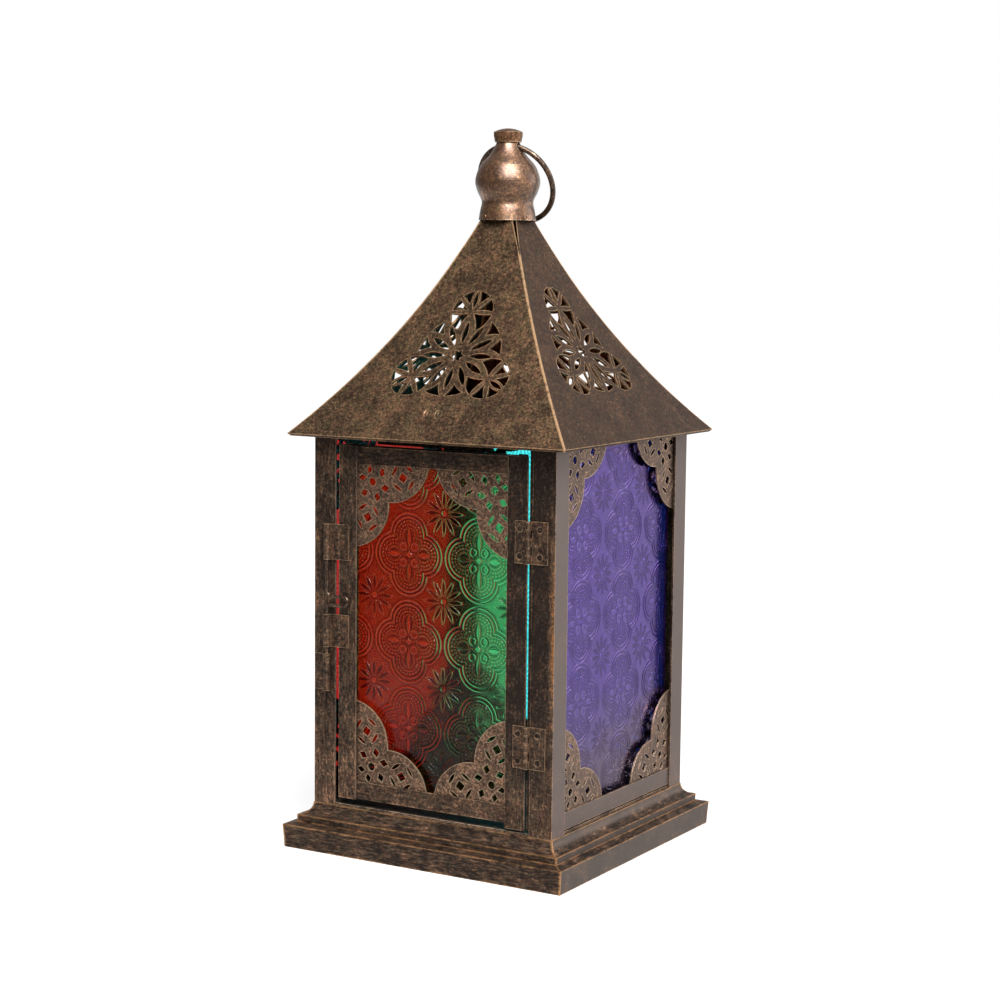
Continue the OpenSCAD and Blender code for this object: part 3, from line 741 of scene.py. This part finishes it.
@dataclass(frozen=True)
class Daisy:
    """The daisy between four quatrefoils, in millimetres, with lines and spans like theirs."""

    petals: float = 12.0
    petal_middle: float = 4.6
    petal_taper: float = 0.18
    # The petals and a ring round the middle are painted dark as shade, in the colour and not in
    # the relief.
    petal_span: Span = (0.3, 0.5)
    petal_rims: Lines = ((0.2, 0.16, 0.7),)
    petal_foot: Span = (2.0, 2.5)
    eye_span: Span = (1.3, 0.8)
    eye_shade_lines: Lines = ((1.7, 0.5, 0.8),)

    def draw(self, kit: Kit, u: Num, v: Num) -> tuple[Num, Num]:
        """Draws the daisy.

        Args:
            kit: the material's kit.
            u: distance sideways from its middle.
            v: distance upwards from its middle.

        Returns:
            The raised middle and rims, and the painted shade on the petals and round the middle,
            each from 0 to 1.
        """
        reach = kit.length(u, v)
        turn = kit.math("ARCTAN2", v, u) * self.petals
        spread = turn.wave() - self.petal_taper * abs(reach - self.petal_middle)
        foot = reach.step(*self.petal_foot)
        raised = (spread.lines(self.petal_rims) * foot).most(reach.step(*self.eye_span))
        shaded = (spread.step(*self.petal_span) * foot).most(reach.lines(self.eye_shade_lines))
        return raised, shaded


@dataclass(frozen=True)
class Flaws:
    """The unevenness of the glass: a worn pattern that weakens the painted shade, ripples, seeds,
    grime, and the heights over which the painted floor reflection fades out.
    """

    wear: Mottle = Mottle(16 * MM, 3.0, 0.6)
    wear_span: Span = (0.25, 0.6)
    wear_least: float = 0.5
    ripple: Mottle = Mottle(12 * MM, 2.0, 0.4)
    ripple_height: float = 0.4
    seed: Mottle = Mottle(1.2 * MM, 2.0, 0.5)
    seed_span: Span = (0.66, 0.8)
    seed_height: float = 0.1
    seed_rough: float = 0.1
    grime: Mottle = Mottle(22 * MM, 4.0, 0.65)
    grime_from: float = 0.35
    grime_share: float = 0.5
    floor_reflection_span: Span = (20 * MM, 80 * MM)


@dataclass(frozen=True)
class Backing:
    """How grime, and the pattern as painted highlight and painted shade, tint the light that a
    pane throws back.
    """

    # The grime colour also stands for the painted floor reflection at the bottom.
    grime: Colour = (0.24, 0.19, 0.24)
    line_share: float = 0.08
    line_gain: float = 1.7
    line_lift: float = 0.05
    shade_share: float = 0.6
    shade_gain: float = 0.3
    rough: float = 0.2
    grime_rough: float = 0.1


@dataclass(frozen=True)
class PressedGlass:
    """Coloured glass whose outer face carries a pressed pattern of quatrefoils and daisies, with
    painted shade and painted highlights of its relief in the colour.
    """

    name: str
    tint: Colour
    mirror: Colour
    silver: float = 0.0
    along_y: bool = False
    first_x: float = -13.4 * MM
    first_z: float = 90.5 * MM
    pitch_x: float = 33.6 * MM
    pitch_z: float = 35.8 * MM
    face_at: float = 51.5 * MM
    face_fade: float = 0.1 * MM
    rough: float = 0.04
    depth: float = 0.12 * MM
    # The two fields below set the painted shade and the painted highlight of the pattern.
    shade: float = 0.4
    painted_highlight: float = 0.5
    # Greys and darkens the pane towards the bottom, a painted reflection of the floor.
    low_floor_reflection: float = 0.0
    bend: float = 1.1
    foil: Quatrefoil = Quatrefoil()
    flower: Daisy = Daisy()
    flaws: Flaws = Flaws()
    backing: Backing = Backing()

    def pattern(self, kit: Kit, along: Num, up: Num) -> tuple[Num, Num]:
        """Repeats quatrefoils with daisies between them over the pane.

        Args:
            kit: the material's kit.
            along: the place along the pane in metres.
            up: the height in metres.

        Returns:
            The raised parts of the pattern, and the painted shade beside them, each from 0 to 1.
        """
        half_x, half_z = self.pitch_x * MM_IN_METRE / 2, self.pitch_z * MM_IN_METRE / 2
        u = ((along - self.first_x) * MM_IN_METRE).wrap(half_x)
        v = ((up - self.first_z) * MM_IN_METRE).wrap(half_z)
        foil = self.foil.draw(kit, u, v)
        flower = self.flower.draw(kit, half_x - abs(u), half_z - abs(v))
        return foil[0].most(flower[0]), foil[1].most(flower[1])

    def colour(self, kit: Kit, outer: Num, height: Num, dark: Num,
               grime: Num) -> bpy.types.NodeSocket:
        """Colour of the light that goes through, lighter on the raised pattern as a painted
        highlight and darker in its painted shade.

        Each face lets through the root of its colour, so the patterned face has the square of
        the tint and the other one is white.

        Args:
            kit: the material's kit.
            outer: 1 on the patterned face.
            height: the raised pattern, painted lighter as a highlight.
            dark: the painted shade of the pattern.
            grime: the share of grime, and towards the bottom of the painted floor reflection.

        Returns:
            The colour's socket.
        """
        plain = tuple(c * c for c in self.tint)
        # deep darkens the tint for grime and as the painted shade of the pattern.
        deep = tuple(c * c * (1.0 - self.shade) for c in self.tint)
        # light is the painted highlight on the raised pattern.
        light = tuple(min(1.0, c * (1.0 + self.painted_highlight)) ** 2 for c in self.tint)
        tint = kit.mix(height, kit.mix(grime, plain, deep), light)
        return kit.mix(outer, WHITE, kit.mix(dark, tint, deep))

    def reflection(self, kit: Kit, height: Num, dark: Num, grime: Num) -> bpy.types.NodeSocket:
        """Colour of the light that the pane throws back, brighter on the raised pattern as a
        painted highlight and dimmer in its painted shade.

        Args:
            kit: the material's kit.
            height: the raised pattern, painted brighter as a highlight.
            dark: the painted shade of the pattern.
            grime: the share of grime, and towards the bottom of the painted floor reflection.

        Returns:
            The colour's socket.
        """
        by = self.backing
        # Painted highlight on the raised pattern and painted shade on its shaded parts.
        line = tuple(min(1.0, c * by.line_gain + by.line_lift) for c in self.mirror)
        shade_colour = tuple(c * by.shade_gain for c in self.mirror)
        face = kit.mix(grime, self.mirror, by.grime)
        face = kit.mix(height * by.line_share, face, line)
        return kit.mix(dark * by.shade_share, face, shade_colour)

    def make(self) -> bpy.types.Material:
        """Builds the material.

        Returns:
            The material.
        """
        material, kit = material_kit(self.name)
        place, by = kit.place(), self.flaws
        x, y, z = kit.split(place)
        along, across = (y, x) if self.along_y else (x, y)
        outer = abs(across).step(self.face_at - self.face_fade, self.face_at + self.face_fade)
        raised, shaded = self.pattern(kit, along, z)
        wear = kit.noise(place, by.wear).step(*by.wear_span) * (1.0 - by.wear_least)
        height = raised * outer
        # Painted shade of the pattern, weaker where the pattern is worn.
        dark = shaded * outer * (1.0 - height) * (wear + by.wear_least)
        seeds = kit.noise(place, by.seed).step(*by.seed_span)
        # Grime, and towards the bottom a painted floor reflection that greys and darkens the pane.
        grime = ((kit.noise(place, by.grime) - by.grime_from) * by.grime_share
                 + self.low_floor_reflection * (1.0 - z.step(*by.floor_reflection_span)))
        ripple = kit.noise(place, by.ripple) * by.ripple_height
        normal = kit.bump(height + ripple + seeds * by.seed_height, self.depth)
        through = kit.node("ShaderNodeBsdfPrincipled", None, {
            "Base Color": self.colour(kit, outer, height, dark, grime),
            "Roughness": self.rough + by.seed_rough * seeds,
            "Transmission Weight": 1.0, "IOR": self.bend, "Normal": normal})
        back = kit.node("ShaderNodeBsdfPrincipled", None, {
            "Base Color": self.reflection(kit, height, dark, grime), "Metallic": 1.0,
            "Roughness": self.backing.rough + self.backing.grime_rough * grime,
            "Normal": normal})
        kit.surface(kit.node("ShaderNodeMixShader", None, {
            0: self.silver, 1: through.outputs[0], 2: back.outputs[0]}))
        return material


def dress(nodes: Sequence[str], material: bpy.types.Material) -> None:
    """Gives CAD nodes a finish.

    Args:
        nodes: the nodes' names.
        material: the finish.
    """
    for name in nodes:
        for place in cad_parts[name].material_slots:
            place.link = "OBJECT"
            place.material = material
        log.info("%s dressed with %s", name, material.name)


@dataclass
class Base:
    """The stepped base: four mitred skirt strips and the floor plate."""

    front_back: Sequence[str] = ("skirt_front", "skirt_back")
    sides: Sequence[str] = ("skirt_right", "skirt_left")
    plate: Sequence[str] = ("floor_plate",)

    def dress(self) -> None:
        """Gives the strips paint that is rubbed along their length, and the plate a matt one."""
        dress(self.front_back, Patina(
            "base_rubbed_across", Grain.ACROSS, worn=(0.8, 0.42, 0.18), rubbed=0.08,
            streaked=0.7, speckle=4.2, cloudy=1.3, patch=9 * MM, edge_reach=1.2 * MM,
            edge_wear=0.6).make())
        # The sides carry a painted sheen in place of the light that they mirror.
        dress(self.sides, Patina(
            "base_rubbed_deep", Grain.DEEP, worn=(0.8, 0.42, 0.18), sheen=(0.12, 0.094, 0.08),
            rubbed=0.02, streaked=0.7, speckle=4.5, cloudy=2.0, side_sheen=0.8, patch=9 * MM,
            edge_reach=1.0 * MM, edge_wear=0.7).make())
        dress(self.plate, Patina(
            "floor_paint", dark=(0.01, 0.007, 0.006), brown=(0.03, 0.02, 0.015), rubbed=0.0,
            rough=0.6, shine=0.3).make())


@dataclass
class Frame:
    """The corner posts and the channel rails of the walls and the door."""

    latch_side: Sequence[str] = ("post_back_left", "post_front_left", "door_stile_latch")
    hinge_side: Sequence[str] = ("post_front_right", "post_back_right", "door_stile_hinge")
    across: Sequence[str] = (
        "rail_bottom_back", "rail_top_front", "rail_top_back", "door_rail_bottom",
        "door_rail_top")
    deep: Sequence[str] = (
        "rail_bottom_right", "rail_bottom_left", "rail_top_right", "rail_top_left")

    def dress(self) -> None:
        """Gives each member paint that is rubbed along its length."""
        # side_sheen paints a sheen on the faces that look to the side.
        dress(self.latch_side, Patina(
            "frame_rubbed_up", Grain.UP, rubbed=0.08, streaked=0.5, low_copper=0.4,
            low_top=75 * MM, corner_wear=0.3, side_sheen=0.85).make())
        dress(self.hinge_side, Patina(
            "frame_dark_up", Grain.UP, rubbed=-0.2, streaked=0.4, speckle=4.0, low_copper=0.5,
            low_top=75 * MM, corner_wear=1.0, side_sheen=0.85).make())
        dress(self.across, Patina(
            "frame_rubbed_across", Grain.ACROSS, rubbed=-0.02, low_copper=0.4).make())
        dress(self.deep, Patina(
            "frame_rubbed_deep", Grain.DEEP, rubbed=0.05, speckle=4.5, side_sheen=0.85).make())


@dataclass
class FoldedLips:
    """The folded back edges of the top rail and the hinge-side post, which narrow the gaps.

    Each has its lowest and its highest corner.
    """

    head: tuple[Point, Point] = (
        (-31 * MM, -49.9 * MM, 170.2 * MM), (23 * MM, -49.3 * MM, 175.2 * MM))
    jamb: tuple[Point, Point] = (
        (44.95 * MM, -56.1 * MM, 21 * MM), (47.1 * MM, -55.5 * MM, 174.5 * MM))

    def strip(self, name: str, low: Point, high: Point, material: bpy.types.Material) -> None:
        """Makes one strip of folded sheet.

        Args:
            name: the piece's name.
            low: its lowest corner.
            high: its highest corner.
            material: its finish.
        """
        mesh = bpy.data.meshes.new(name)
        shape = bmesh.new()
        size = Vector(high) - Vector(low)
        middle = (Vector(high) + Vector(low)) / 2
        bmesh.ops.create_cube(
            shape, size=1.0, matrix=Matrix.Translation(middle) @ Matrix.Diagonal((*size, 1.0)))
        shape.to_mesh(mesh)
        shape.free()
        mesh.materials.append(material)
        piece = bpy.data.objects.new(name, mesh)
        bpy.context.scene.collection.objects.link(piece)
        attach(piece, "lantern")
        log.info("%s built", name)

    def build(self) -> None:
        """Makes both strips in dark paint."""
        paint = Patina("lip_paint", Grain.UP, rubbed=-0.1, edge_wear=0.2).make()
        self.strip("top_rail_lip", *self.head, paint)
        self.strip("hinge_post_lip", *self.jamb, paint)


@dataclass
class Brackets:
    """The sixteen pierced corner brackets."""

    walls: Sequence[str] = ("right", "back", "left", "door")
    corners: Sequence[int] = (1, 2, 3, 4)

    def dress(self) -> None:
        """Gives the brackets rubbed copper with bright cut edges, which are wear and partly a
        painted highlight.
        """
        # side_sheen paints a sheen on the side faces; the near-white worn colour on the cut edges
        # is wear and partly a painted highlight.
        finish = Patina(
            "bracket_copper", Grain.CLOUDY, dark=(0.03, 0.018, 0.012),
            brown=(0.15, 0.084, 0.054), tinge=(0.12, 0.082, 0.055), copper=(0.5, 0.28, 0.17),
            worn=(1.0, 0.74, 0.5), rubbed=0.28, streaked=0.1, speckle=4.6, side_sheen=0.3,
            patch=9 * MM, edge_reach=0.5 * MM, edge_wear=1.3).make()
        dress([f"bracket_{wall}_{n}" for wall in self.walls for n in self.corners], finish)


@dataclass
class Glazing:
    """The three fixed panes and the door's pane."""

    def dress(self) -> None:
        """Gives each pane its own colour of pressed glass."""
        # Each pane paints the shade and highlights of its relief into its colour.
        dress(["door_pane"], PressedGlass(
            "glass_amber", (0.6, 0.4, 0.13), (0.5, 0.3, 0.12), rough=0.14, depth=0.2 * MM,
            shade=0.92, bend=1.32).make())
        dress(["pane_left"], PressedGlass(
            "glass_red", (0.3, 0.012, 0.01), (0.5, 0.03, 0.04), along_y=True).make())
        dress(["pane_back"], PressedGlass(
            "glass_turquoise", (0.05, 0.66, 0.68), (0.03, 0.4, 0.5), first_x=-6 * MM).make())
        # The violet pane greys and darkens towards the bottom as a painted floor reflection.
        dress(["pane_right"], PressedGlass(
            "glass_violet", (0.15, 0.058, 0.47), (0.185, 0.088, 0.385), silver=0.55,
            along_y=True, first_x=7.5 * MM, first_z=101.6 * MM, pitch_x=35.4 * MM,
            pitch_z=33.8 * MM, depth=0.15 * MM, shade=0.75, painted_highlight=0.06, low_floor_reflection=0.9,
            bend=1.34).make())


@dataclass
class Roof:
    """The four hollow-swept pierced panels and the crown plate."""

    front_back: Sequence[str] = ("roof_front", "roof_back")
    sides: Sequence[str] = ("roof_right", "roof_left")
    crown: Sequence[str] = ("roof_crown",)

    def dress(self) -> None:
        """Gives the panels a mottled, scratched patina, with a redder, darker copy at the sides as
        painted shade.
        """
        dress(self.front_back, RoofPatina(
            "roof_rubbed_front", dark=(0.026, 0.014, 0.008), brown=(0.108, 0.058, 0.033),
            tinge=(0.084, 0.06, 0.03), copper=(0.32, 0.17, 0.09), cloudy=1.8).make())
        # This darker copy paints shade onto the side panels.
        dress(self.sides, RoofPatina(
            "roof_rubbed_side_shaded", dark=(0.02, 0.01, 0.006), brown=(0.064, 0.03, 0.016),
            tinge=(0.056, 0.036, 0.019), copper=(0.19, 0.092, 0.05), cloudy=1.0,
            along_y=True).make())
        dress(self.crown, Patina("crown_paint", rubbed=0.3).make())


@dataclass
class Finial:
    """The spun bulb with its foot rivets, and its cap."""

    bulb: Sequence[str] = ("finial_bulb", "foot_rivets")
    cap: Sequence[str] = ("finial_cap",)

    def dress(self) -> None:
        """Gives the bulb a lacquered satin copper and the cap a duller one."""
        dress(self.bulb, Patina(
            "finial_copper", dark=(0.025, 0.01, 0.005), brown=(0.115, 0.048, 0.023),
            tinge=(0.11, 0.055, 0.02), copper=(0.42, 0.21, 0.105), worn=(0.95, 0.68, 0.46),
            rubbed=0.4, streaked=0.1, speckle=3.4, patch=7 * MM, rough=0.3, coat=0.85,
            depth=0.03 * MM).make())
        dress(self.cap, Patina(
            "cap_copper", dark=(0.04, 0.017, 0.01), brown=(0.15, 0.068, 0.036),
            tinge=(0.14, 0.075, 0.03), copper=(0.45, 0.24, 0.13), worn=(0.95, 0.68, 0.46),
            rubbed=0.4, streaked=0.1, speckle=3.4, patch=7 * MM, edge_reach=0.7 * MM,
            edge_wear=0.8, rough=0.3, depth=0.03 * MM).make())


@dataclass
class Wirework:
    """The carrying ring, the drop bolt and the hinge pins."""

    wires: Sequence[str] = ("top_ring", "latch_bolt", "hinge_pins")

    def dress(self) -> None:
        """Gives the wire a dark, smooth bronze."""
        dress(self.wires, Patina(
            "wire_bronze", dark=(0.02, 0.01, 0.006), brown=(0.08, 0.042, 0.024),
            copper=(0.36, 0.2, 0.11), rubbed=0.18, streaked=0.2, patch=6 * MM, rough=0.24,
            coat=0.3).make())


@dataclass
class Hardware:
    """The hinges' leaves, the rivets, the latch's keeper and its sleeves."""

    plates: Sequence[str] = (
        "hinge_upper_frame_leaf", "hinge_lower_frame_leaf", "hinge_upper_door_leaf",
        "hinge_lower_door_leaf", "latch_keeper", "latch_sleeve_upper", "latch_sleeve_lower")
    rivets: Sequence[str] = ("frame_rivets", "door_rivets")

    def dress(self) -> None:
        """Gives the plates paint that is rubbed on their edges, and the rivets a near-black one as
        painted shade of recessed holes.
        """
        dress(self.plates, Patina(
            "hardware_paint", Grain.UP, copper=(0.48, 0.24, 0.12), rubbed=0.14, streaked=0.3,
            patch=6 * MM, edge_reach=0.5 * MM, edge_wear=0.8).make())
        # The rivet heads are flush; their near-black paint is painted shade standing for recessed
        # holes.
        dress(self.rivets, Patina(
            "rivet_painted_shade", dark=(0.01, 0.007, 0.006), brown=(0.03, 0.019, 0.014), rubbed=0.0,
            patch=2 * MM, edge_wear=0.3).make())


@dataclass(frozen=True)
class Lamp:
    """A soft square lamp: its name, its place, its power in watts and its side in metres."""

    name: str
    place: Point
    power: float
    side: float
    aim: Point = (0.0, 0.0, 0.15)

    def build(self) -> None:
        """Hangs the lamp and turns it towards the lantern."""
        data = bpy.data.lights.new(self.name, "AREA")
        data.energy, data.size = self.power, self.side
        made = bpy.data.objects.new(self.name, data)
        made.location = self.place
        away = Vector(self.place) - Vector(self.aim)
        made.rotation_euler = away.to_track_quat("Z", "Y").to_euler()
        made.visible_camera = made.visible_transmission = False
        bpy.context.scene.collection.objects.link(made)


@dataclass
class Studio:
    """Plain pale floor, white surroundings and soft lamps.

    The floor mirrors as a sheet of white paper that ends in front of the lantern, and the room
    mirrors dimmer on the side of the camera.
    """

    floor_half: float = 3.0
    floor_white: Colour = (0.9, 0.9, 0.9)
    floor_glow: float = 0.68
    far_span: Span = (0.25, 1.2)
    far_lift: float = 0.35
    paper_run: Pair = (0.5, 0.86)
    paper_span: Span = (-0.62, -0.36)
    paper_share: float = 0.9
    paper_least: float = 0.08
    ambient: float = 0.5
    room: float = 0.46
    room_run: Point = (0.3, 0.32, -0.1)
    room_least: float = 0.16
    lamps: Sequence[Lamp] = (
        Lamp("above", (0.56, -0.62, 1.15), 52.0, 0.85),
        Lamp("behind", (1.0, 0.9, 0.5), 4.0, 0.8))

    def rays(self, kit: Kit) -> tuple[Num, Num]:
        """The kind of the ray that meets a surface.

        Args:
            kit: the node kit.

        Returns:
            1 for a ray that is seen directly or through glass, and 1 for a mirrored one.
        """
        path = kit.node("ShaderNodeLightPath")
        seen = Num(kit, path.outputs["Is Camera Ray"]).most(
            Num(kit, path.outputs["Is Transmission Ray"]))
        return seen, Num(kit, path.outputs["Is Glossy Ray"])

    def floor(self) -> None:
        """Lays the floor, which shows as white and keeps a faint shadow."""
        mesh = bpy.data.meshes.new("floor")
        shape = bmesh.new()
        bmesh.ops.create_grid(shape, x_segments=1, y_segments=1, size=self.floor_half)
        shape.to_mesh(mesh)
        shape.free()
        piece = bpy.data.objects.new("floor", mesh)
        bpy.context.scene.collection.objects.link(piece)
        material, kit = material_kit("floor_white")
        seen, glossy = self.rays(kit)
        mirrored = glossy * (1.0 - seen)
        x, y, _ = kit.split(kit.place())
        near = (self.paper_run[0] * x + self.paper_run[1] * y).step(*self.paper_span)
        paper = near * self.paper_share + self.paper_least
        far = 1.0 + self.far_lift * kit.length(x, y).step(*self.far_span)
        matt = kit.node("ShaderNodeBsdfDiffuse", None, {"Color": (*self.floor_white, 1.0)})
        glow = kit.node("ShaderNodeEmission", None, {
            "Color": (*WHITE, 1.0), "Strength": seen * far + mirrored * paper})
        kit.surface(kit.node("ShaderNodeMixShader", None, {
            0: seen * self.floor_glow + mirrored, 1: matt.outputs[0], 2: glow.outputs[0]}))
        mesh.materials.append(material)

    def world(self) -> None:
        """Sets up white surroundings, with the room in front dimmer in reflections."""
        world = bpy.data.worlds.new("studio")
        world.use_nodes = True
        kit = Kit(world.node_tree)
        seen, glossy = self.rays(kit)
        x, y, z = kit.split(kit.node("ShaderNodeTexCoord").outputs["Generated"])
        run_x, run_y, run_z = self.room_run
        room = (self.room + run_x * x + run_y * y + run_z * z).most(self.room_least)
        light = glossy * room + (1.0 - glossy) * self.ambient
        back = kit.node("ShaderNodeBackground", None, {
            "Color": (*WHITE, 1.0), "Strength": seen + (1.0 - seen) * light})
        kit.node("ShaderNodeOutputWorld", None, {"Surface": back.outputs[0]})
        world.cycles.sampling_method = "NONE"
        bpy.context.scene.world = world

    def build(self) -> None:
        """Sets up floor, surroundings and lamps."""
        self.floor()
        self.world()
        for lamp in self.lamps:
            lamp.build()
        log.info("studio set up")


@dataclass
class PhotoCamera:
    """The camera at the photograph's viewing angle: metres, degrees and millimetres of lens."""

    place: Point = (0.4689, -0.7917, 0.2472)
    yaw: float = 30.75
    pitch: float = 6.353
    roll: float = 0.616
    lens: float = 78.746
    sensor: float = 36.0
    clip: Span = (0.01, 20.0)

    def build(self) -> None:
        """Makes the camera and gives it to the scene."""
        yaw, pitch, roll = (math.radians(a) for a in (self.yaw, self.pitch, self.roll))
        flat = math.cos(pitch)
        back = Vector((math.sin(yaw) * flat, -math.cos(yaw) * flat, math.sin(pitch)))
        right = Vector((math.cos(yaw), math.sin(yaw), 0.0))
        level = Matrix((right, back.cross(right), back)).transposed()
        turned = level @ Matrix.Rotation(roll, 3, "Z")
        data = bpy.data.cameras.new("photo_camera")
        data.sensor_width, data.lens = self.sensor, self.lens
        data.clip_start, data.clip_end = self.clip
        made = bpy.data.objects.new("photo_camera", data)
        made.matrix_world = Matrix.Translation(self.place) @ turned.to_4x4()
        bpy.context.scene.collection.objects.link(made)
        bpy.context.scene.camera = made
        log.info("camera placed")


def main() -> None:
    """Builds the scene in order."""
    logging.basicConfig(level=logging.INFO, format="%(name)s: %(message)s", stream=sys.stdout)
    PhotoCamera().build()
    Studio().build()
    for part in (Base(), Frame(), Brackets(), Glazing(), Roof(), Finial(), Wirework(),
                 Hardware()):
        part.dress()
    FoldedLips().build()
    bpy.context.scene.view_settings.view_transform = "Standard"


if __name__ == "__main__":
    main()
